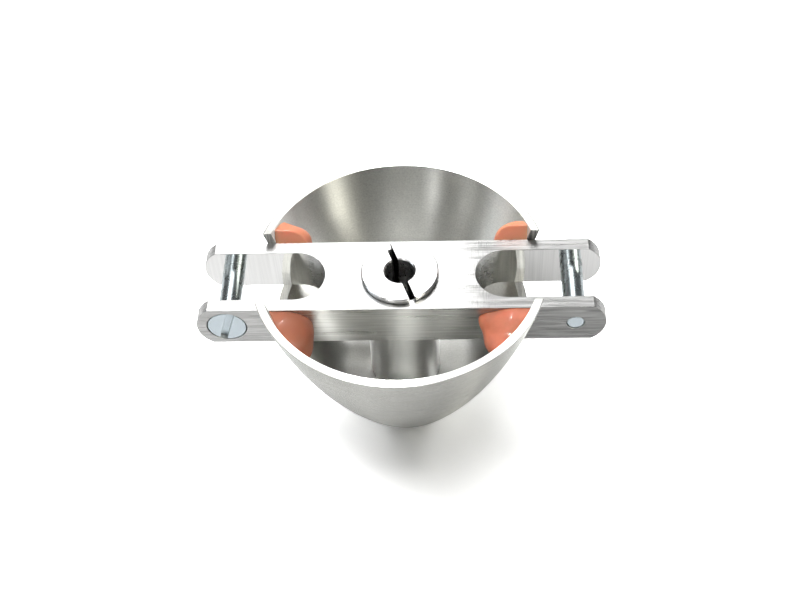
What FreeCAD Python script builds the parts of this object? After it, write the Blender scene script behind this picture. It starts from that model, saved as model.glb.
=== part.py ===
import FreeCAD, Part
import math
import os

# Spinner of a folding two-blade propeller, in millimetres.
# The origin is on the shaft axis, in the motor-side face of the yoke. +Z points to the motor,
# so the nose points down, and the yoke lies along X. The motor is behind the open rim.

# Shell, turned from bar: an ogive with an open rim, milled with one notch for each arm of the yoke
spinner_diameter = 40.0
rim_height = 1.9                # the rim stands this far behind the yoke's motor-side face
nose_depth = 30.0               # the flat of the nose lies this far in front of that face
nose_diameter = 9.67            # where the outline would meet the flat of the nose
ogive_radius = 83.4             # the outline is one arc from the rim to the nose
shell_wall = 1.1
nose_round = 1.0
cavity_round = 3.0
nose_hole_diameter = 6.0        # the clamp screw and its key go in here
notch_clearance = 0.05
ogive_step = 7.0                # the long arc is cut as cones up to this long, within 0.08 mm of it
round_steps = 2                 # cones in the rounds at the nose and round the cavity's floor

# Yoke, milled from bar: a crossbar with two forks, and a turned boss that stands in the nose
yoke_width = 12.0
yoke_height = 6.8
boss_diameter = 10.0
boss_length = 13.4
boss_root_chamfer = 0.5
spigot_diameter = 8.0
spigot_length = 2.0
spigot_clearance = 0.03

# Forks: a blade root lies in each slot and turns on the pivot screw
blade_slot_width = 8.2
blade_slot_reach = 10.2         # from the axis to the slot's round inner end
pivot_span = 47.0
ear_end_radius = 4.1

# Pivot screws: slotted shoulder screws, one from the front and one from the back
pivot_shoulder_diameter = 3.0
pivot_head_diameter = 5.2
pivot_head_height = 1.15
pivot_recess_diameter = 5.5
pivot_recess_depth = 1.2
pivot_thread_diameter = 2.4
pivot_thread_recess = 0.1       # the thread's end lies this far inside the ear's face
pivot_thread_chamfer = 0.15
pivot_hole_clearance = 0.02
pivot_thread_clearance = 0.05
driver_slot_width = 1.0
driver_slot_depth = 0.6
driver_slot_tilt_left = 18.0    # degrees from +Z, as each screw was left when it was tightened
driver_slot_tilt_right = -40.0

# Collet: a slit taper sleeve for the motor shaft, drawn towards the nose by the clamp screw
shaft_diameter = 4.0
shaft_clearance = 0.02
shaft_bore_depth = 9.5
shaft_mouth_chamfer = 0.2
collet_flange_diameter = 10.5
collet_flange_top = 0.85
collet_flange_gap = 0.15        # daylight between the flange and the yoke when the collet is home
collet_flange_chamfer = 0.15
collet_guide_diameter = 6.4
collet_clearance = 0.03
taper_mouth_diameter = 9.4
taper_half_angle = 8.0
taper_length = 7.0
slit_width = 0.8
slit_depth = 9.0
slit_turn = 20.0                # degrees from the Y axis, anticlockwise seen from the motor
draw_room = 1.0                 # free length below the collet, so that it can be drawn in further

# Clamp screw: a socket head cap screw in the boss, reached through the nose
clamp_thread_diameter = 2.9
clamp_thread_clearance = 0.05
clamp_length = 8.0
clamp_head_diameter = 5.5
clamp_head_height = 3.0
clamp_head_recess = 0.2
clamp_head_chamfer = 0.3
clamp_pocket_diameter = 5.8
clamp_hole_diameter = 3.2
clamp_web = 2.0                 # the floor between the collet's guide bore and the screw's head
hex_across_flats = 2.5
hex_depth = 1.5

# Resin fillets that glue the yoke into the shell: each is a rounded lump in the corner between
# the yoke's side and the shell's wall, and no two are alike
resin_past_corner = 0.8         # the lump's middle, out from the corner along the yoke
resin_off_yoke = 1.5            # the lump's middle, off the yoke's side
resin_foot_drop = 1.4           # it runs down past the yoke's underside
resin_edge_chamfer = 1.2
resin_lumps = {
    "front_left": {"side": (-1, -1), "top_radius": 5.6, "foot_radius": 5.0, "top": -0.1},
    "front_right": {"side": (1, -1), "top_radius": 7.4, "foot_radius": 5.2, "top": -0.1},
    "back_left": {"side": (-1, 1), "top_radius": 4.8, "foot_radius": 4.5, "top": 1.5},
    "back_right": {"side": (1, 1), "top_radius": 4.1, "foot_radius": 4.4, "top": 1.5},
}

# Places worked out from the sizes above
underside = -yoke_height
cavity_floor = underside - boss_length
spigot_end = cavity_floor - spigot_length
pivot_height = -yoke_height / 2
pivot_x = pivot_span / 2
head_seat = spigot_end + clamp_head_recess + clamp_head_height
guide_floor = head_seat + clamp_web
collet_end = guide_floor + draw_room
ogive_width = (spinner_diameter - nose_diameter) / 2
ogive_height = rim_height + nose_depth
ogive_chord = math.hypot(ogive_width, ogive_height)
ogive_offset = math.sqrt(ogive_radius**2 - (ogive_chord / 2) ** 2) / ogive_chord
ogive_centre_r = (spinner_diameter + nose_diameter) / 4 - ogive_offset * ogive_height
ogive_centre_z = (rim_height - nose_depth) / 2 + ogive_offset * ogive_width
taper_slope = math.tan(math.radians(taper_half_angle))
past = 1.0                      # cutting tools run this far past a face

Z_AXIS = FreeCAD.Vector(0, 0, 1)
ORIGIN = FreeCAD.Vector(0, 0, 0)


def cylinder(diameter, low, high):
    """Round bar on the shaft axis."""
    return Part.makeCylinder(diameter / 2, high - low, FreeCAD.Vector(0, 0, low))


def cross_cylinder(diameter, low, high):
    """Round bar along Y through the origin."""
    return Part.makeCylinder(
        diameter / 2, high - low, FreeCAD.Vector(0, low, 0), FreeCAD.Vector(0, 1, 0)
    )


def block(x, y, z):
    """Box between two limits on each axis."""
    return Part.makeBox(
        x[1] - x[0], y[1] - y[0], z[1] - z[0], FreeCAD.Vector(x[0], y[0], z[0])
    )


def round_edges(solid, height, radius=None):
    """The circular edges of a solid that lie flat at a height, of one radius if it is given."""
    found = []
    for edge in solid.Edges:
        if not isinstance(edge.Curve, Part.Circle):
            continue
        level = all(abs(vertex.Z - height) < 1e-6 for vertex in edge.Vertexes)
        if level and (radius is None or abs(edge.Curve.Radius - radius) < 1e-6):
            found.append(edge)
    return found


def ogive_r(z, inset):
    """Radius of the spinner's outline at a height, moved inwards by an inset."""
    return ogive_centre_r + math.sqrt((ogive_radius - inset) ** 2 - (z - ogive_centre_z) ** 2)


def arc_points(centre_r, centre_z, radius, start, end, steps):
    """Points in the XZ plane at equal steps round an arc, both its ends included."""
    turns = [start + (end - start) * step / steps for step in range(steps + 1)]
    return [
        FreeCAD.Vector(centre_r + radius * math.cos(t), 0, centre_z + radius * math.sin(t))
        for t in turns
    ]


def ogive_solid(inset, low, edge_round):
    """Solid of revolution inside the outline, from a rounded lower edge up to the rim."""
    radius = ogive_radius - inset
    round_z = low + edge_round
    round_r = ogive_r(round_z, inset + edge_round)
    rim = -math.asin((ogive_centre_z - rim_height) / radius)
    meet = math.atan2(round_z - ogive_centre_z, round_r - ogive_centre_r)
    steps = math.ceil(radius * (rim - meet) / ogive_step)
    points = arc_points(ogive_centre_r, ogive_centre_z, radius, rim, meet, steps)
    points += arc_points(round_r, round_z, edge_round, meet, -math.pi / 2, round_steps)[1:]
    points += [FreeCAD.Vector(0, 0, low), FreeCAD.Vector(0, 0, rim_height)]
    return Part.Face(Part.makePolygon(points + points[:1])).revolve(ORIGIN, Z_AXIS, 360)


def make_shell(cavity):
    """The turned ogive, hollowed, drilled through the nose and notched for the yoke."""
    shell = ogive_solid(0.0, -nose_depth, nose_round).cut(cavity)
    shell = shell.cut(cylinder(nose_hole_diameter, -nose_depth - past, cavity_floor + past))
    seat_diameter = spigot_diameter + 2 * spigot_clearance
    shell = shell.cut(cylinder(seat_diameter, spigot_end - spigot_clearance, cavity_floor + past))
    half_notch = yoke_width / 2 + notch_clearance
    reach = spinner_diameter / 2 + past
    return shell.cut(
        block((-reach, reach), (-half_notch, half_notch), (underside, rim_height + past))
    )


def make_bar():
    """The crossbar: flat above and below, its ends rounded about the pivots."""
    end_x = pivot_x + ear_end_radius
    flat_x = pivot_x + math.sqrt(ear_end_radius**2 - (yoke_height / 2) ** 2)
    side_y = -yoke_width / 2
    corners = {
        (sx, z): FreeCAD.Vector(sx * flat_x, side_y, z) for sx in (-1, 1) for z in (0, underside)
    }
    edges = []
    for sx in (-1, 1):
        tip = FreeCAD.Vector(sx * end_x, side_y, pivot_height)
        edges.append(Part.Arc(corners[sx, 0], tip, corners[sx, underside]).toShape())
    for z in (0, underside):
        edges.append(Part.makeLine(corners[-1, z], corners[1, z]))
    outline = Part.Wire(Part.__sortEdges__(edges))
    return Part.Face(outline).extrude(FreeCAD.Vector(0, yoke_width, 0))


def blade_slot(side):
    """Cutter for one fork: a straight slot with a round inner end."""
    radius = blade_slot_width / 2
    middle = blade_slot_reach + radius
    end = Part.makeCylinder(
        radius, yoke_height + 2 * past, FreeCAD.Vector(side * middle, 0, underside - past)
    )
    x = sorted((side * middle, side * (pivot_x + ear_end_radius + past)))
    return end.fuse(block(x, (-radius, radius), (underside - past, past)))


def pivot_hole():
    """Cutter for one pivot screw along Y: a head recess, a close hole and a tapped hole."""
    outer = yoke_width / 2
    recess = cross_cylinder(pivot_recess_diameter, -outer - past, -outer + pivot_recess_depth)
    close = cross_cylinder(pivot_shoulder_diameter + 2 * pivot_hole_clearance, -outer, 0)
    tapped = cross_cylinder(pivot_thread_diameter + 2 * pivot_thread_clearance, 0, outer + past)
    return recess.fuse(close).fuse(tapped)


def place_pivot(shape, side):
    """Move a shape from the origin to a pivot. The right-hand one comes in from the back."""
    placed = shape.copy()
    if side > 0:
        placed.rotate(ORIGIN, Z_AXIS, 180)
    placed.translate(FreeCAD.Vector(side * pivot_x, 0, pivot_height))
    return placed


def make_yoke():
    """The crossbar and its boss in one piece, with forks, taper seat and screw pocket."""
    yoke = make_bar().fuse(cylinder(boss_diameter, cavity_floor, underside + past))
    yoke = yoke.removeSplitter()
    yoke = yoke.makeChamfer(boss_root_chamfer, round_edges(yoke, underside, boss_diameter / 2))
    yoke = yoke.fuse(cylinder(spigot_diameter, spigot_end, cavity_floor)).removeSplitter()
    for side in (-1, 1):
        yoke = yoke.cut(blade_slot(side))
        yoke = yoke.cut(place_pivot(pivot_hole(), side))
    mouth = taper_mouth_diameter / 2
    seat = Part.makeCone(
        mouth - taper_length * taper_slope,
        mouth + past * taper_slope,
        taper_length + past,
        FreeCAD.Vector(0, 0, -taper_length),
    )
    guide = cylinder(collet_guide_diameter + 2 * collet_clearance, guide_floor, -taper_length)
    screw_hole = cylinder(clamp_hole_diameter, head_seat, guide_floor + past)
    pocket = cylinder(clamp_pocket_diameter, spigot_end - past, head_seat)
    for tool in (seat, guide, screw_hole, pocket):
        yoke = yoke.cut(tool)
    return yoke


def make_pivot_screw(slot_tilt):
    """Shoulder screw along Y, its slotted head at the front, its thread in the far ear."""
    outer = yoke_width / 2
    seat = -outer + pivot_recess_depth
    top = seat - pivot_head_height
    thread_start = blade_slot_width / 2
    thread_end = outer - pivot_thread_recess
    head = cross_cylinder(pivot_head_diameter, top, seat)
    cutter = block(
        (-driver_slot_width / 2, driver_slot_width / 2),
        (top - past, top + driver_slot_depth),
        (-pivot_head_diameter, pivot_head_diameter),
    )
    cutter.rotate(ORIGIN, FreeCAD.Vector(0, 1, 0), slot_tilt)
    shoulder = cross_cylinder(pivot_shoulder_diameter, seat, thread_start)
    thread = cross_cylinder(
        pivot_thread_diameter, thread_start, thread_end - pivot_thread_chamfer
    )
    chamfer = Part.makeCone(
        pivot_thread_diameter / 2,
        pivot_thread_diameter / 2 - pivot_thread_chamfer,
        pivot_thread_chamfer,
        FreeCAD.Vector(0, thread_end - pivot_thread_chamfer, 0),
        FreeCAD.Vector(0, 1, 0),
    )
    return head.cut(cutter).fuse([shoulder, thread, chamfer]).removeSplitter()


def make_collet():
    """Taper sleeve with a flange, bored for the shaft, tapped below and slit down its taper."""
    flange = cylinder(collet_flange_diameter, collet_flange_gap, collet_flange_top)
    flange = flange.makeChamfer(collet_flange_chamfer, round_edges(flange, collet_flange_top))
    mouth = taper_mouth_diameter / 2 - collet_clearance
    taper = Part.makeCone(
        mouth - taper_length * taper_slope,
        mouth + collet_flange_gap * taper_slope,
        taper_length + collet_flange_gap,
        FreeCAD.Vector(0, 0, -taper_length),
    )
    guide = cylinder(collet_guide_diameter, collet_end, -taper_length)
    collet = flange.fuse([taper, guide])
    bore_diameter = shaft_diameter + 2 * shaft_clearance
    collet = collet.cut(cylinder(bore_diameter, -shaft_bore_depth, collet_flange_top + past))
    thread_diameter = clamp_thread_diameter + 2 * clamp_thread_clearance
    collet = collet.cut(cylinder(thread_diameter, collet_end - past, -shaft_bore_depth + past))
    mouth_cone = Part.makeCone(
        bore_diameter / 2,
        bore_diameter / 2 + shaft_mouth_chamfer,
        shaft_mouth_chamfer,
        FreeCAD.Vector(0, 0, collet_flange_top - shaft_mouth_chamfer),
    )
    slit = block(
        (-slit_width / 2, slit_width / 2),
        (-collet_flange_diameter, collet_flange_diameter),
        (-slit_depth, collet_flange_top + past),
    )
    slit.rotate(ORIGIN, Z_AXIS, slit_turn)
    return collet.cut(mouth_cone).cut(slit).removeSplitter()


def make_clamp_screw():
    """Socket head cap screw on the shaft axis, its head towards the nose."""
    head_low = head_seat - clamp_head_height
    head = cylinder(clamp_head_diameter, head_low, head_seat)
    head = head.makeChamfer(clamp_head_chamfer, round_edges(head, head_low))
    corner = hex_across_flats / math.sqrt(3)
    turns = [math.radians(60 * step) for step in range(7)]
    hexagon = Part.makePolygon(
        [FreeCAD.Vector(corner * math.cos(t), corner * math.sin(t), head_low) for t in turns]
    )
    socket = Part.Face(hexagon).extrude(FreeCAD.Vector(0, 0, hex_depth))
    shank = cylinder(clamp_thread_diameter, head_seat, head_seat + clamp_length)
    return head.fuse(shank).cut(socket)


def make_resin(lump, cavity):
    """Rounded lump in one corner, trimmed by the shell's wall and by the yoke's side."""
    x_side, y_side = lump["side"]
    face = yoke_width / 2
    wall = ogive_r(pivot_height, shell_wall)
    corner_x = math.sqrt(wall**2 - face**2)
    foot = underside - resin_foot_drop
    body = Part.makeCone(
        lump["foot_radius"],
        lump["top_radius"],
        lump["top"] - foot,
        FreeCAD.Vector(
            x_side * (corner_x + resin_past_corner), y_side * (face + resin_off_yoke), foot
        ),
    )
    body = body.makeChamfer(resin_edge_chamfer, round_edges(body, lump["top"]))
    reach = spinner_diameter / 2
    beside = sorted((y_side * face, y_side * (face + reach)))
    room = block(sorted((0, x_side * reach)), beside, (foot, rim_height))
    return body.common(room).common(cavity)


def save(shape, name):
    """Write one piece, and stop if it isn't a single sound solid."""
    if len(shape.Solids) != 1 or not shape.isValid():
        raise ValueError(name + " is not one sound solid")
    shape.Solids[0].exportStep("parts/" + name + ".step")


os.makedirs("parts", exist_ok=True)
cavity = ogive_solid(shell_wall, cavity_floor, cavity_round)
save(make_shell(cavity), "spinner_shell")
save(make_yoke(), "yoke")
save(place_pivot(make_pivot_screw(driver_slot_tilt_left), -1), "pivot_screw_left")
save(place_pivot(make_pivot_screw(driver_slot_tilt_right), 1), "pivot_screw_right")
save(make_collet(), "collet")
save(make_clamp_screw(), "clamp_screw")
for place, lump in resin_lumps.items():
    save(make_resin(lump, cavity), "resin_fillet_" + place)
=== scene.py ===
import math

import bmesh
import bpy
from mathutils import Matrix, Vector, noise


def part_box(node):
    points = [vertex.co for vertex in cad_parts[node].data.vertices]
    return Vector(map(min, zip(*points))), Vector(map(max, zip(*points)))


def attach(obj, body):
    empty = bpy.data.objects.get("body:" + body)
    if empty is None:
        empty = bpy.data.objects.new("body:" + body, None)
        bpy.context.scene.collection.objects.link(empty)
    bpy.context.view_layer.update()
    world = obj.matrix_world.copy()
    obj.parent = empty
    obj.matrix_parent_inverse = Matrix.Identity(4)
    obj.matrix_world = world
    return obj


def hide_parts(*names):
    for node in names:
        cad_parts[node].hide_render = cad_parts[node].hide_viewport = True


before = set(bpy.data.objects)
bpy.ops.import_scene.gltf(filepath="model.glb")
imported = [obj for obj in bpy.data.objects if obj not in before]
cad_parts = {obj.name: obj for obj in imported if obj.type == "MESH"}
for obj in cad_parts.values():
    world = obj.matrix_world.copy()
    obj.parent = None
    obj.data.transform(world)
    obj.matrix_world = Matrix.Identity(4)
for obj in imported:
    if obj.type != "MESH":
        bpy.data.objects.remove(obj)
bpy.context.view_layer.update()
scene = bpy.context.scene
MM = 0.001


# Camera: a short telephoto, close above the part, looking down from the front and held with a
# small roll. Angles are in degrees; the lens is for a 36 mm wide sensor. Bright parts may burn
# out to white as in the photograph, so the colours are shown as they come.
camera_azimuth = 4.331
camera_elevation = 50.920
camera_roll = -4.080
camera_distance = 169.46 * MM
camera_lens = 57.22
sensor_width = 36
look_point = Vector((0.10, -4.44, 0.0)) * MM


def new_object(name, data):
    """A new object at the origin, linked into the scene."""
    thing = bpy.data.objects.new(name, data)
    scene.collection.objects.link(thing)
    return thing


azimuth, elevation, roll = (
    math.radians(angle) for angle in (camera_azimuth, camera_elevation, camera_roll)
)
backwards = Vector((
    math.sin(azimuth) * math.cos(elevation),
    -math.cos(azimuth) * math.cos(elevation),
    math.sin(elevation),
))
rightwards = Vector((math.cos(azimuth), math.sin(azimuth), 0))
upright = backwards.cross(rightwards)
camera_x = math.cos(roll) * rightwards + math.sin(roll) * upright
camera_y = math.cos(roll) * upright - math.sin(roll) * rightwards
camera_data = bpy.data.cameras.new("camera")
camera_data.sensor_width = sensor_width
camera_data.lens = camera_lens
camera_data.clip_start = 1 * MM
camera = new_object("camera", camera_data)
turn = Matrix((camera_x, camera_y, backwards)).transposed().to_4x4()
camera.matrix_world = Matrix.Translation(look_point + camera_distance * backwards) @ turn
scene.camera = camera
scene.view_settings.view_transform = "Standard"


# Spinner shell: an aluminium ogive turned from bar, hollow, with an open rim, a hole through the
# nose and one milled notch for each arm of the yoke. The turning marks run round it, the notches
# are filed, and its edges are deburred.
shell_low, shell_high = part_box("spinner_shell")
spinner_radius = 20.0 * MM
rim_height = shell_high[2]
nose_height = shell_low[2]
ogive_radius = 83.4 * MM
nose_radius = 4.835 * MM
shell_wall = 1.1 * MM
nose_round = 1.0 * MM
cavity_round = 3.0 * MM
cavity_floor = -20.2 * MM
nose_hole_radius = 3.0 * MM
seat_radius = 4.03 * MM
seat_floor = -22.23 * MM
notch_half_width = 6.05 * MM
notch_floor = -6.8 * MM
notch_reach = 30.0 * MM
turned_segments = 288
outer_steps = 96
inner_steps = 72
round_steps = 8
shell_deburring = 0.06 * MM
sharp_angle = math.radians(30)
ogive_width = spinner_radius - nose_radius
ogive_height = rim_height - nose_height
ogive_chord = math.hypot(ogive_width, ogive_height)
ogive_offset = math.sqrt(ogive_radius ** 2 - (ogive_chord / 2) ** 2) / ogive_chord
ogive_centre_r = (spinner_radius + nose_radius) / 2 - ogive_offset * ogive_height
ogive_centre_z = (rim_height + nose_height) / 2 + ogive_offset * ogive_width


def ogive_r(z, inset):
    """Radius of the spinner's outline at a height, moved inwards by an inset."""
    return ogive_centre_r + math.sqrt((ogive_radius - inset) ** 2 - (z - ogive_centre_z) ** 2)


def arc(centre, radius, start, end, steps):
    """Points of an arc in the plane of the turned outline, both ends included."""
    turns = [start + (end - start) * step / steps for step in range(steps + 1)]
    return [(centre[0] + radius * math.cos(t), centre[1] + radius * math.sin(t)) for t in turns]


def ogive_outline(inset, low, edge_round, steps):
    """The outline from the rim down to the flat at its lower end, with a round between them."""
    middle = (ogive_r(low + edge_round, inset + edge_round), low + edge_round)
    rim = -math.asin((ogive_centre_z - rim_height) / (ogive_radius - inset))
    meet = math.atan2(middle[1] - ogive_centre_z, middle[0] - ogive_centre_r)
    points = arc((ogive_centre_r, ogive_centre_z), ogive_radius - inset, rim, meet, steps)
    return points + arc(middle, edge_round, meet, -math.pi / 2, round_steps)[1:]


class Wire:
    """One output in a node tree. Arithmetic on wires adds the Math nodes that it stands for."""

    def __init__(self, tree, socket):
        self.tree = tree
        self.socket = socket

    def add(self, kind, settings, inputs, output=0):
        """Any other node: its settings are set first, then its sockets are filled or linked."""
        node = self.tree.nodes.new(kind)
        for name, value in settings.items():
            setattr(node, name, value)
        for name, value in inputs.items():
            if isinstance(value, Wire):
                self.tree.links.new(value.socket, node.inputs[name])
            else:
                node.inputs[name].default_value = value
        return Wire(self.tree, node.outputs[output])

    def math(self, operation, *others):
        values = dict(enumerate((self, *others)))
        return self.add("ShaderNodeMath", {"operation": operation}, values)

    def __add__(self, other):
        return self.math("ADD", other)

    __radd__ = __add__

    def __mul__(self, other):
        return self.math("MULTIPLY", other)

    __rmul__ = __mul__

    def __sub__(self, other):
        return self.math("SUBTRACT", other)

    def __rsub__(self, other):
        return (self * -1.0).math("ADD", other)

    def unsigned(self):
        """A number without its sign."""
        return self.math("ABSOLUTE")

    def ramp(self, low, high):
        """0 below the first value and 1 above the second, straight in between."""
        ends = {"Value": self, "From Min": low, "From Max": high}
        return self.add("ShaderNodeMapRange", {}, ends)

    def axis(self, letter):
        """The X, Y or Z part of a vector."""
        return self.add("ShaderNodeSeparateXYZ", {}, {"Vector": self}, letter)

    def facing(self):
        """The way that the surface faces, in the same axes."""
        return self.add("ShaderNodeTexCoord", {}, {}, "Normal")

    def stretch(self, x, y, z):
        """The same coordinates with each axis scaled, to draw a pattern out or squeeze it."""
        return self.add("ShaderNodeVectorMath", {"operation": "MULTIPLY"}, {0: self, 1: (x, y, z)})

    def measure(self, operation, other=(0, 0, 0)):
        """A number worked out from two vectors, or from one: DOT_PRODUCT, DISTANCE or LENGTH."""
        vectors = {0: self, 1: other}
        return self.add("ShaderNodeVectorMath", {"operation": operation}, vectors, "Value")

    def noise(self, scale, detail, distortion=0.0):
        """Soft noise, with its scale in waves per unit of these coordinates."""
        inputs = {"Vector": self, "Scale": scale, "Detail": detail, "Distortion": distortion}
        return self.add("ShaderNodeTexNoise", {}, inputs)

    def between(self, first, second):
        """A mix of two colours, with this wire as the share of the second."""
        first, second = (c if isinstance(c, Wire) else (*c, 1.0) for c in (first, second))
        colours = {0: self, 6: first, 7: second}
        return self.add("ShaderNodeMix", {"data_type": "RGBA"}, colours, 2)

    def bump(self, strength, depth):
        """A normal that follows this wire as a height."""
        inputs = {"Height": self, "Strength": strength, "Distance": depth}
        return self.add("ShaderNodeBump", {}, inputs)


def new_material(name, **fixed):
    """A Principled material with its fixed sockets set, and a wire with the piece's own place."""
    material = bpy.data.materials.new(name)
    material.use_nodes = True
    shader = material.node_tree.nodes["Principled BSDF"]
    for socket, value in fixed.items():
        shader.inputs[socket.replace("_", " ")].default_value = value
    coordinates = material.node_tree.nodes.new("ShaderNodeTexCoord")
    return material, Wire(material.node_tree, coordinates.outputs["Object"])


def feed(material, **wires):
    """Link wires to the Principled shader's sockets."""
    shader = material.node_tree.nodes["Principled BSDF"]
    for socket, wire in wires.items():
        material.node_tree.links.new(wire.socket, shader.inputs[socket.replace("_", " ")])


# The turned finish. Scales are in waves per metre. Inside, painted shade darkens the metal deep in
# the cavity and in a spot on the back-left wall. The face of the rim and the left notch get a
# painted highlight, and the outer edge of the rim a thin line of painted shade.
groove_scale = 9000
scratch_scale = (60, 60, 26000)
file_scale = (3200, 60, 60)
grit_scale = 4500
speck_scale = 2600
cloud_scale = 140
turned_dark = (0.10, 0.10, 0.10)
turned_bright = (0.88, 0.88, 0.83)
# Heights between which the painted shade in the cavity fades in.
cavity_shade_end, cavity_shade_start = -17.0 * MM, -9.0 * MM
notch_start = 16.0 * MM
# Middle and radii of a spot of painted shade on the inner wall at the back left.
wall_shade_spot = (-16.6 * MM, 8.6 * MM, 1.0 * MM)
wall_shade_core, wall_shade_end = 3.0 * MM, 9.0 * MM
turned_metal, place = new_material(
    "turned_aluminium", Metallic=1.0, Anisotropic=1.0, Anisotropic_Rotation=0.25
)
grooves = place.stretch(1, 1, groove_scale).noise(1.0, 1.0)
scratches = place.stretch(*scratch_scale).noise(1.0, 1.0)
file_marks = place.stretch(*file_scale).noise(1.0, 1.0).ramp(0.4, 0.6)
grit = place.noise(grit_scale, 1.0)
speck = place.noise(speck_scale, 1.0).ramp(0.76, 0.80)
cloud = place.noise(cloud_scale, 3.0)
along = place.axis("X")
height = place.axis("Z")
place_across = place.stretch(1, 1, 0)
facing = place.facing()
sideways = facing.axis("Y").unsigned()
upwards = facing.axis("Z")
outwards = facing.measure("DOT_PRODUCT", place_across).ramp(0.0, 1.0 * MM)
near_rim = height.ramp(rim_height - 0.9 * MM, rim_height - 0.4 * MM)
rim_face = upwards.ramp(0.85, 0.95) * near_rim
notch_faces = 1 - place.axis("Y").unsigned().ramp(
    notch_half_width + 0.05 * MM, notch_half_width + 0.10 * MM
)
in_notch = notch_faces * along.unsigned().ramp(notch_start, notch_start + 0.5 * MM)
on_right = along.ramp(0.0, 1.0 * MM)
# Painted highlight: the rim's face and the filed faces of the left notch are made brighter, the
# right notch less; the file marks break it up.
painted_highlight = rim_face + in_notch * (1.8 - file_marks * 1.3 - on_right * (sideways + 0.9))
# Painted shade: the inner wall is darkened deep in the cavity.
painted_cavity_shade = (1 - height.ramp(cavity_shade_end, cavity_shade_start)) * (1 - outwards)
# Painted shade: a darker spot on the inner wall at the back left.
painted_wall_shade = 1 - place.measure("DISTANCE", wall_shade_spot).ramp(wall_shade_core, wall_shade_end)
painted_wall_shade = painted_wall_shade * (1 - outwards)
# Painted shade: a thin dark line on the outer edge of the rim and along the outer edge of its
# face.
painted_edge_shade = upwards.ramp(0.3, 0.5) * (1 - upwards.ramp(0.8, 0.9)) * outwards * near_rim
outer_edge = place_across.measure("LENGTH").ramp(
    spinner_radius - 0.22 * MM, spinner_radius - 0.08 * MM
)
painted_edge_shade = painted_edge_shade + rim_face * outer_edge * 0.9
tone = grooves * 0.22 + grit * 0.35 - 0.175 + cloud * 0.12 - speck * 0.25 + 0.60 - outwards * 0.15
tone = (tone * (1 - painted_cavity_shade * 0.7) * (1 - painted_wall_shade * 0.6) + painted_highlight * 0.3).ramp(0.0, 1.0)
tone = tone * (1 - painted_edge_shade * 0.92)
feed(
    turned_metal,
    Base_Color=tone.between(turned_dark, turned_bright),
    Roughness=(grooves * 0.10 + scratches * 0.08 + 0.25) * (1 - outwards * 0.2),
    Normal=(grooves * 0.6 + scratches * 0.4).bump(0.5, 0.02 * MM),
)

# The turned form: the outline is swept round a guide circle about the shaft axis, one step for
# each segment, and a slot is cut across the rim for the yoke.
outer = ogive_outline(0, nose_height, nose_round, outer_steps)
inner = ogive_outline(shell_wall, cavity_floor, cavity_round, inner_steps)
bore = [
    (nose_hole_radius, nose_height), (nose_hole_radius, seat_floor),
    (seat_radius, seat_floor), (seat_radius, cavity_floor),
]
outline = (outer + bore + inner[::-1])[::-1]
shell_tree = bpy.data.node_groups.new("turned_and_notched", "GeometryNodeTree")
shell_sizes = {
    "Segments": ("NodeSocketInt", turned_segments),
    "Guide Radius": ("NodeSocketFloat", spinner_radius),
    "Notch Half Width": ("NodeSocketFloat", notch_half_width),
    "Notch Floor": ("NodeSocketFloat", notch_floor),
    "Notch Reach": ("NodeSocketFloat", notch_reach),
    "Finish": ("NodeSocketMaterial", turned_metal),
}
shell_tree.interface.new_socket("Outline", in_out="INPUT", socket_type="NodeSocketGeometry")
sockets = {
    name: shell_tree.interface.new_socket(name, in_out="INPUT", socket_type=kind).identifier
    for name, (kind, value) in shell_sizes.items()
}
shell_tree.interface.new_socket("Shell", in_out="OUTPUT", socket_type="NodeSocketGeometry")
inputs = shell_tree.nodes.new("NodeGroupInput").outputs
given = {socket.name: Wire(shell_tree, socket) for socket in inputs if socket.name}
guide = given["Guide Radius"]
profile = guide.add("GeometryNodeMeshToCurve", {}, {"Mesh": given["Outline"]})
inwards = guide.add("ShaderNodeCombineXYZ", {}, {"X": guide * -1.0})
profile = guide.add("GeometryNodeTransform", {}, {"Geometry": profile, "Translation": inwards})
circle = guide.add(
    "GeometryNodeCurvePrimitiveCircle", {}, {"Resolution": given["Segments"], "Radius": guide}
)
circle = guide.add("GeometryNodeSetCurveNormal", {"mode": "Z_UP"}, {"Curve": circle})
swept = guide.add("GeometryNodeCurveToMesh", {}, {"Curve": circle, "Profile Curve": profile})
reach = given["Notch Reach"]
cutter_size = guide.add(
    "ShaderNodeCombineXYZ", {},
    {"X": reach * 2.0, "Y": given["Notch Half Width"] * 2.0, "Z": reach},
)
cutter_place = guide.add("ShaderNodeCombineXYZ", {}, {"Z": given["Notch Floor"] + reach * 0.5})
cutter = guide.add("GeometryNodeMeshCube", {}, {"Size": cutter_size})
cutter = guide.add("GeometryNodeTransform", {}, {"Geometry": cutter, "Translation": cutter_place})
shell_form = guide.add(
    "GeometryNodeMeshBoolean", {"operation": "DIFFERENCE", "solver": "EXACT"},
    {"Mesh 1": swept, "Mesh 2": cutter},
)
shell_form = guide.add("GeometryNodeRealizeInstances", {}, {"Geometry": shell_form})
shell_form = guide.add(
    "GeometryNodeSetMaterial", {}, {"Geometry": shell_form, "Material": given["Finish"]}
)
output = shell_tree.nodes.new("NodeGroupOutput")
shell_tree.links.new(shell_form.socket, output.inputs["Shell"])


def settle(piece):
    """Turn a piece's modifiers into plain mesh."""
    graph = bpy.context.evaluated_depsgraph_get()
    graph.update()
    mesh = bpy.data.meshes.new_from_object(piece.evaluated_get(graph))
    piece.modifiers.clear()
    piece.data = mesh


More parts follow.
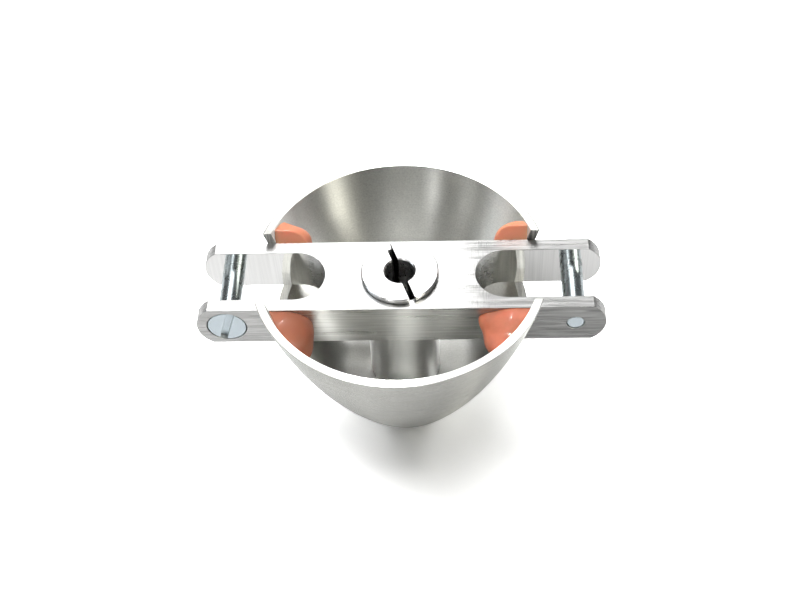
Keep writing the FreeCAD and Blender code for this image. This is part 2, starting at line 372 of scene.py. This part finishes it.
def break_edges(piece, width):
    """Shade a piece smooth and give its sharp edges the small bevel that deburring leaves."""
    for face in piece.data.polygons:
        face.use_smooth = True
    bevel = piece.modifiers.new("deburred", "BEVEL")
    bevel.limit_method = "ANGLE"
    bevel.angle_limit = sharp_angle
    bevel.width = width
    bevel.segments = 2
    bevel.harden_normals = True
    normals = piece.modifiers.new("flat_faces", "WEIGHTED_NORMAL")
    normals.keep_sharp = True
    normals.weight = 100
    settle(piece)


def dress(piece, body, slot, material, *nodes):
    """Give a piece its material, and let it stand for its CAD nodes on their body."""
    piece.data.materials.clear()
    piece.data.materials.append(material)
    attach(piece, body)
    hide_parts(*nodes)


outline_mesh = bpy.data.meshes.new("shell_outline")
outline_mesh.from_pydata(
    [(r, -z, 0) for r, z in outline],
    [(i, (i + 1) % len(outline)) for i in range(len(outline))], [],
)
shell = new_object("shell_turned", outline_mesh)
turning = shell.modifiers.new("turned_and_notched", "NODES")
turning.node_group = shell_tree
for name, (kind, value) in shell_sizes.items():
    turning[sockets[name]] = value
settle(shell)
break_edges(shell, shell_deburring)
dress(shell, "spinner", "turned_aluminium", turned_metal, "spinner_shell")


# Yoke: one piece of milled aluminium, a crossbar with a fork at each end and a turned boss below.
# It is brushed along the bar, scratched and chattered at its right end, and plain in the slots,
# where the cutter has left upright marks. Painted shade darkens the top of its right end, the
# sides of its arms and of its right end, and the slot ends on the left. Its edges are deburred.
yoke_deburring = 0.08 * MM
slot_half_width = 4.1 * MM
boss_top = -7.0 * MM
fork_start, fork_full = 12.0 * MM, 14.0 * MM
arm_start, arm_full = 13.0 * MM, 15.0 * MM
right_end_start, right_end_full = 6.0 * MM, 12.0 * MM
chatter_start, chatter_full = 7.0 * MM, 11.0 * MM
chatter_fading, chatter_end = 11.5 * MM, 13.5 * MM
grain_scale = (120, 2600, 2600)
line_scale = (40, 7000, 7000)
hairline_scale = (60, 26000, 26000)
cutter_scale = (4000, 4000, 60)
wave_scale = (90, 1500, 1)
chatter_scale = (6000, 700, 1)
side_scale = (110, 1, 1500)
milled_dark = (0.15, 0.15, 0.145)
milled_bright = (0.92, 0.92, 0.91)
weld_distance = 0.0002 * MM
flat_angle = math.radians(0.4)


def copy_of(node, name):
    """The CAD node's own form as a new mesh, joined up and with its flat faces made whole."""
    bm = bmesh.new()
    bm.from_mesh(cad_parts[node].data)
    bmesh.ops.remove_doubles(bm, verts=bm.verts, dist=weld_distance)
    bmesh.ops.dissolve_limit(
        bm, angle_limit=flat_angle, verts=bm.verts, edges=bm.edges, delimit={"NORMAL"}
    )
    mesh = bpy.data.meshes.new(name)
    bm.to_mesh(mesh)
    bm.free()
    return new_object(name, mesh)


milled_metal, place = new_material("milled_aluminium", Metallic=1.0)
grain = place.stretch(*grain_scale).noise(1.0, 3.0)
lines = place.stretch(*line_scale).noise(1.0, 2.0)
hairlines = place.stretch(*hairline_scale).noise(1.0, 1.0)
cutter_marks = place.stretch(*cutter_scale).noise(1.0, 2.0)
rings = place.stretch(1, 1, groove_scale).noise(1.0, 1.0)
wave = place.stretch(*wave_scale).noise(1.0, 3.0, 1.5).ramp(0.42, 0.62)
chatter = place.stretch(*chatter_scale).noise(1.0, 2.0).ramp(0.48, 0.66)
side_grain = place.stretch(*side_scale).noise(1.0, 3.0, 1.2).ramp(0.35, 0.65)
along = place.axis("X")
from_middle = along.unsigned()
in_slot_width = 1 - place.axis("Y").unsigned().ramp(
    slot_half_width + 0.05 * MM, slot_half_width + 0.15 * MM
)
on_boss = 1 - place.axis("Z").ramp(boss_top - 0.1 * MM, boss_top + 0.1 * MM)
on_arm = from_middle.ramp(arm_start, arm_full)
right_end = along.ramp(right_end_start, right_end_full)
facing = place.facing()
across_face = facing.axis("Y").unsigned().ramp(0.85, 0.98)
levelness = facing.axis("Z").unsigned()
level_face = levelness.ramp(0.9, 0.95)
in_slot = in_slot_width * from_middle.ramp(fork_start, fork_full) * across_face
slot_end = in_slot_width * (1 - levelness.ramp(0.5, 0.9)) * (1 - across_face)
polished = (1 - right_end) * level_face
# Scratches at the right end, with painted shade that darkens the top faces there.
scratches_and_painted_shade = (wave * 0.35 + 0.04) * right_end * level_face
chatter = chatter * along.ramp(chatter_start, chatter_full)
chatter = chatter * (1 - along.ramp(chatter_fading, chatter_end)) * level_face
# Painted shade: the sides of the arms are darkened, broken by the grain, and so are the slot ends
# on the left and the sides of the right end.
painted_side_shade = (1 - levelness.ramp(0.4, 0.6)) * (1 - in_slot) * (side_grain * 0.35 + 0.12) * on_arm
painted_side_shade = painted_side_shade + slot_end * (0.35 - right_end * 0.35)
painted_side_shade = painted_side_shade + right_end * across_face * (1 - in_slot) * 0.4
brushed = (grain * 0.35 + lines * 0.45 + 0.3).ramp(0.3, 0.95)
tone = (brushed * (1 - in_slot) + (cutter_marks * 0.3 + 0.68) * in_slot) * (1 - painted_side_shade)
tone = tone * (1 - scratches_and_painted_shade) * (1 - chatter * 0.4)
tone = tone * (1 - on_boss) + (rings * 0.2 + 0.76) * on_boss
relief = (grain + lines + hairlines) * (1 - in_slot) * (1 - slot_end) * (1 - on_boss)
relief = relief * (1 - polished * 0.6) + cutter_marks * (in_slot + slot_end) * 0.1
feed(
    milled_metal,
    Base_Color=tone.between(milled_dark, milled_bright),
    Roughness=(grain * 0.18 + lines * 0.1 + 0.16 + on_boss * 0.1) * (1 - in_slot) + in_slot * 0.07,
    Normal=(relief + rings * on_boss * 0.6).bump(1.0, 0.02 * MM),
)
yoke = copy_of("yoke", "yoke_milled")
break_edges(yoke, yoke_deburring)
dress(yoke, "spinner", "milled_aluminium", milled_metal, "yoke")


# Pivot screws: slotted shoulder screws in bright zinc-plated steel, turned, one from each side.
# Their ends look bluer and paler than their shoulders, which are streaked where the blades turn.
screw_deburring = 0.06 * MM
streak_scale = (1, 5200, 1)
zinc_blotch_scale = 900
zinc_dark = (0.38, 0.42, 0.41)
zinc_bright = (0.82, 0.93, 1.0)
zinc, place = new_material("zinc_plated_steel", Metallic=1.0)
streak = place.stretch(*streak_scale).noise(1.0, 2.0)
blotch = place.noise(zinc_blotch_scale, 3.0)
wear = streak * 0.5 + blotch * 0.5
facing = place.facing()
end_face = facing.axis("Y").unsigned().ramp(0.9, 0.95)
tone = wear.ramp(0.25, 0.75) * 0.7 * (1 - end_face * 0.8) + end_face * 0.82
feed(
    zinc,
    Base_Color=tone.between(zinc_dark, zinc_bright),
    Roughness=blotch * (1 - end_face) * 0.1 + 0.23,
    Metallic=1 - end_face * 0.6,
    Normal=(wear * (1 - end_face)).bump(0.2, 0.01 * MM),
)
screws = []
for side in ("left", "right"):
    screw = copy_of("pivot_screw_" + side, "pivot_screw_%s_steel" % side)
    break_edges(screw, screw_deburring)
    dress(screw, "spinner", "zinc_plated_steel", zinc, "pivot_screw_" + side)
    screws.append(screw)


# Collet: a turned taper sleeve with a flange, slit right across and down its taper. The faces of
# the slit are painted near black, as painted shade.
collet_deburring = 0.05 * MM
slit_half_width = 0.4 * MM
slit_turn = math.radians(20)
ring_scale = 8000
collet_blotch_scale = 700
collet_dark = (0.62, 0.62, 0.62)
collet_bright = (0.90, 0.90, 0.89)
slit_painted_shade = (0.04, 0.035, 0.03)
collet_metal, place = new_material(
    "collet_metal", Metallic=1.0, Anisotropic=0.5, Anisotropic_Rotation=0.25
)
rings = place.stretch(1, 1, ring_scale).noise(1.0, 1.0)
blotch = place.noise(collet_blotch_scale, 3.0)
# Painted shade: the faces of the slit get a near-black colour.
slit_normal = (math.cos(slit_turn), math.sin(slit_turn), 0)
in_slit = 1 - place.measure("DOT_PRODUCT", slit_normal).unsigned().ramp(
    slit_half_width + 0.01 * MM, slit_half_width + 0.06 * MM
)
tone = (rings * 0.3 + blotch * 0.6).ramp(0.1, 0.8)
feed(
    collet_metal,
    Base_Color=in_slit.between(tone.between(collet_dark, collet_bright), slit_painted_shade),
    Roughness=blotch * 0.15 + 0.2,
    Normal=(rings * 0.8 + blotch * 0.2).bump(0.15, 0.01 * MM),
)
collet = copy_of("collet", "collet_turned")
break_edges(collet, collet_deburring)
dress(collet, "collet", "collet_metal", collet_metal, "collet")


# Clamp screw: a socket head cap screw on the shaft axis, reached through the nose. It is steel
# with an uneven black finish.
black_blotch_scale = 1200
black_dark = (0.03, 0.03, 0.032)
black_bright = (0.09, 0.09, 0.095)
black_steel, place = new_material("black_steel", Metallic=1.0)
blotch = place.noise(black_blotch_scale, 3.0)
feed(
    black_steel,
    Base_Color=blotch.between(black_dark, black_bright),
    Roughness=blotch * 0.25 + 0.3,
    Normal=blotch.bump(0.2, 0.01 * MM),
)
clamp_screw = copy_of("clamp_screw", "clamp_screw_steel")
break_edges(clamp_screw, screw_deburring)
dress(clamp_screw, "clamp_screw", "black_steel", black_steel, "clamp_screw")


# Resin: four lumps of salmon-coloured casting resin that glue the yoke into the shell. Each was
# dabbed into its corner, so it is smooth and glossy, and no two have the same form. The two in
# front are thicker. The front left one is coloured darker, and the two at the back are painted
# lighter, as painted light, the right one most.
resin_foot = -8.2 * MM
resin_highest = 1.75 * MM
resin_slope = 1.7
resin_corner_height = -3.4 * MM
resin_past_corner = 0.8 * MM
resin_squareness = 2.7
resin_sink = 0.02 * MM
resin_swelling = 0.10
resin_swelling_scale = 300
resin_levels = 6
yoke_half_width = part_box("yoke")[1][1]
resin_cloud_scale = 260
dimple_scale = 500
resin_deep = (0.44, 0.14, 0.075)
resin_salmon = (0.66, 0.20, 0.115)
resin_front_left = (0.36, 0.12, 0.065)
resin_painted_lit = (1.0, 0.38, 0.23)
resin, place = new_material(
    "glue_resin", Coat_Weight=0.4, Coat_Roughness=0.12, IOR=1.35, Subsurface_Weight=0.6,
    Subsurface_Radius=(1.0, 0.35, 0.2), Subsurface_Scale=1.5 * MM,
)
cloud = place.noise(resin_cloud_scale, 3.0)
dimple = place.noise(dimple_scale, 2.0)
left = 1 - place.axis("X").ramp(-2 * MM, 2 * MM)
behind = place.axis("Y").ramp(-2 * MM, 2 * MM)
colour = cloud.ramp(0.35, 0.65).between(resin_deep, resin_salmon)
colour = (left * (1 - behind)).between(colour, resin_front_left)
feed(
    resin,
    # Painted light: the two lumps at the back are made lighter, the right one most.
    Base_Color=(behind * (1 - left * 0.2)).between(colour, resin_painted_lit),
    Roughness=cloud * 0.2 + 0.45,
    Normal=dimple.bump(0.25, 0.08 * MM),
)
# For each lump: its side along the bar and across it, its radius at the top and at the foot, its
# depth away from the bar as a share of that, its middle's distance from the bar, and its top.
resin_lumps = {
    "front_left": (-1, -1, 5.6 * MM, 5.0 * MM, 1.0, 1.5 * MM, -0.1 * MM),
    "front_right": (1, -1, 8.0 * MM, 3.7 * MM, 1.0, 1.5 * MM, -0.1 * MM),
    "back_left": (-1, 1, 5.0 * MM, 4.4 * MM, 0.66, 0.8 * MM, 1.8 * MM),
    "back_right": (1, 1, 4.8 * MM, 4.4 * MM, 0.52, 0.7 * MM, 1.8 * MM),
}
corner_x = math.sqrt(ogive_r(resin_corner_height, shell_wall) ** 2 - yoke_half_width ** 2)
resin_pieces = []
for name, (x_side, y_side, top_radius, foot_radius, depth, off_yoke, top) in resin_lumps.items():
    half_height = (top - resin_foot) / 2
    middle = Vector((
        x_side * (corner_x + resin_past_corner), y_side * (yoke_half_width + off_yoke),
        resin_foot + half_height,
    ))
    bm = bmesh.new()
    bmesh.ops.create_icosphere(bm, subdivisions=resin_levels, radius=1)
    for vert in bm.verts:
        across = math.hypot(vert.co.x, vert.co.y)
        swell = (across ** resin_squareness + abs(vert.co.z) ** resin_squareness) ** (
            -1 / resin_squareness
        )
        up = vert.co.z * swell
        radius = foot_radius + (top_radius - foot_radius) * (up + 1) / 2
        spot = middle + Vector((
            vert.co.x * swell * radius, vert.co.y * swell * radius * depth, up * half_height
        ))
        spot += (spot - middle) * resin_swelling * noise.noise(spot * resin_swelling_scale)
        off_side = max(abs(spot.y) - yoke_half_width, -resin_sink)
        spot.y = y_side * (yoke_half_width + off_side)
        spot.z = min(spot.z, resin_highest, resin_slope * (off_side + resin_sink))
        wall_height = min(max(spot.z, cavity_floor), rim_height)
        wall = ogive_r(wall_height, shell_wall) + resin_sink
        if math.hypot(spot.x, spot.y) > wall:
            spot.x = math.copysign(math.sqrt(wall ** 2 - spot.y ** 2), spot.x)
        vert.co = spot
    for face in bm.faces:
        face.smooth = True
    mesh = bpy.data.meshes.new("resin_" + name)
    bm.to_mesh(mesh)
    bm.free()
    lump = new_object("resin_" + name, mesh)
    dress(lump, "spinner", "glue_resin", resin, "resin_fillet_" + name)
    resin_pieces.append(lump)


# Floor and sky: a white table under soft white light from all round, a little dimmer from the
# front. The camera sees both as pure white, as the photograph's exposure makes them.
floor_size = 1.6
floor_white = (0.88, 0.88, 0.88)
floor_seen = (2.4, 2.4, 2.4)
sky_level = 0.12
sky_dimming = 0.06
side = floor_size / 2
corners = ((-side, -side), (side, -side), (side, side), (-side, side))
floor_mesh = bpy.data.meshes.new("floor")
floor_mesh.from_pydata([(x, y, nose_height) for x, y in corners], [], [(0, 1, 2, 3)])
floor = new_object("floor", floor_mesh)
paper, place = new_material("white_table", Roughness=0.8, Specular_IOR_Level=0.0)
seen = place.add("ShaderNodeLightPath", {}, {}, "Is Camera Ray")
feed(paper, Base_Color=seen.between(floor_white, floor_seen))
floor_mesh.materials.append(paper)

studio = bpy.data.worlds.new("studio")
studio.use_nodes = True
sky_tree = studio.node_tree
way = Wire(sky_tree, sky_tree.nodes.new("ShaderNodeTexCoord").outputs["Generated"])
in_front = (way.axis("Y") * -1.0).ramp(0.10, 0.50)
dim = in_front * (1 - way.axis("Z").ramp(0.80, 0.95))
seen = way.add("ShaderNodeLightPath", {}, {}, "Is Camera Ray")
strength = (sky_level - dim * sky_dimming) * (1 - seen) + seen
sky = sky_tree.nodes["Background"]
sky.inputs["Color"].default_value = (1, 1, 1, 1)
sky_tree.links.new(strength.socket, sky.inputs["Strength"])
scene.world = studio


# Lamps: soft boxes light the part but don't show in the metal, and strips make its long
# reflections but light nothing else. Some strips are flagged off, so they shine on a few pieces.
def softbox(
    name, bearing, elevation, distance, width, height, level, colour=(1, 1, 1), shines_on=()
):
    """A rectangular light of a given brightness that looks at the part. Its bearing is 0 towards
    the viewer and 90 on the right, in degrees, and its elevation is above the table. Where
    shines_on lists pieces, it lights those alone."""
    light = bpy.data.lights.new(name, "AREA")
    light.shape = "RECTANGLE"
    light.size = width
    light.size_y = height
    light.energy = level * math.pi * width * height
    light.color = colour
    lamp = new_object(name, light)
    a, e = math.radians(bearing), math.radians(elevation)
    way = Vector((math.sin(a) * math.cos(e), -math.cos(a) * math.cos(e), math.sin(e)))
    pose = way.to_track_quat("Z", "Y").to_matrix().to_4x4()
    lamp.matrix_world = Matrix.Translation(way * distance) @ pose
    if shines_on:
        lit = bpy.data.collections.new(name + "_lights")
        for piece in shines_on:
            lit.objects.link(piece)
        lamp.light_linking.receiver_collection = lit
    return lamp


cream = (1.0, 0.98, 0.88)
cool = (0.86, 0.93, 1.0)
for box in (
    softbox("top_box", 0, 88, 0.8, 0.4, 0.4, 6.0),
    softbox("key_box", -120, 68, 0.7, 0.3, 0.3, 11.0),
    softbox("low_right_box", 140, 22, 0.7, 0.3, 0.15, 6.0),
    softbox("low_left_box", -140, 22, 0.7, 0.3, 0.15, 8.0),
):
    box.visible_glossy = False
for strip in (
    softbox("back_soft", 187, 51, 0.6, 0.30, 0.30, 3.6, shines_on=(yoke, collet, *screws)),
    softbox("rim_soft", 187, 51, 0.6, 0.30, 0.30, 2.6, shines_on=(shell,)),
    softbox("back_strip", 193, 74, 0.6, 0.07, 0.3, 62.0, shines_on=(shell, *resin_pieces)),
    softbox("side_strip", 105, 40, 0.6, 0.13, 0.5, 23.0, shines_on=(shell,)),
    softbox("right_strip", 50, 35, 0.6, 0.12, 0.5, 7.0, cream),
    softbox("middle_strip", -11, 32, 0.6, 0.07, 0.5, 0.5),
    softbox("left_strip", -27, 35, 0.6, 0.06, 0.5, 6.0),
    softbox("faint_strip", -54, 32, 0.6, 0.10, 0.5, 1.7),
    softbox("back_left_strip", 235, 55, 0.6, 0.20, 0.4, 5.0, shines_on=(shell,)),
    softbox("far_left_strip", -84, 30, 0.6, 0.20, 0.4, 3.0, cool),
):
    strip.visible_diffuse = False
